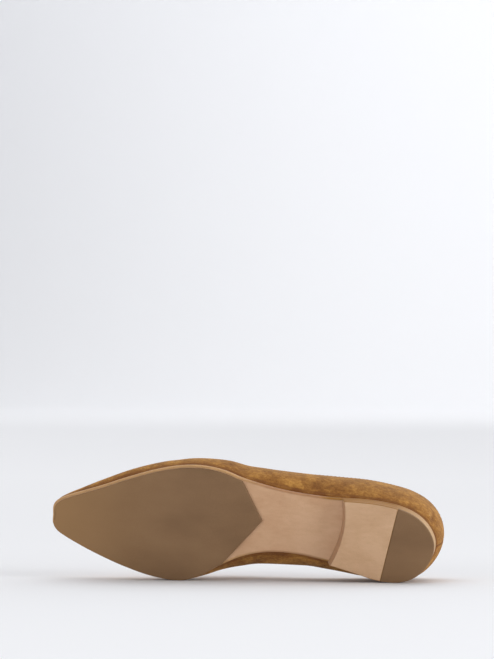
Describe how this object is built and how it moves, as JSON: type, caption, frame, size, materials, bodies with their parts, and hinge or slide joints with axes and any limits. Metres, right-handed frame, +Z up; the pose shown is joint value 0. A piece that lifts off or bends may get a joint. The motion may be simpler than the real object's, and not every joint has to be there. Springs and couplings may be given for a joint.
{
  "type": "slipper shoe",
  "caption": "Women's flat suede slipper shoe, the left one, lying on its inner side: leather sole with a rubber half sole, and a low heel with a rubber tip.",
  "frame": {"origin": "centre of the bounding box in plan, on the floor that the shoe lies on", "axes": "+X towards the heel, -Y towards the side that the sole faces, +Z up, which is close to the outer side of the foot"},
  "size_m": [0.261, 0.071, 0.0815],
  "materials": {
    "suede": "matt napped",
    "sole_leather": "smooth, slightly polished",
    "sole_rubber": "matt",
    "lining_leather": "smooth"
  },
  "bodies": {
    "root": {"upper": "suede", "insole": "lining_leather", "outsole": "sole_leather", "half_sole": "sole_rubber", "heel_lift": "sole_leather", "heel_top_leather": "sole_leather", "heel_top_rubber": "sole_rubber"}
  },
  "joints": []
}
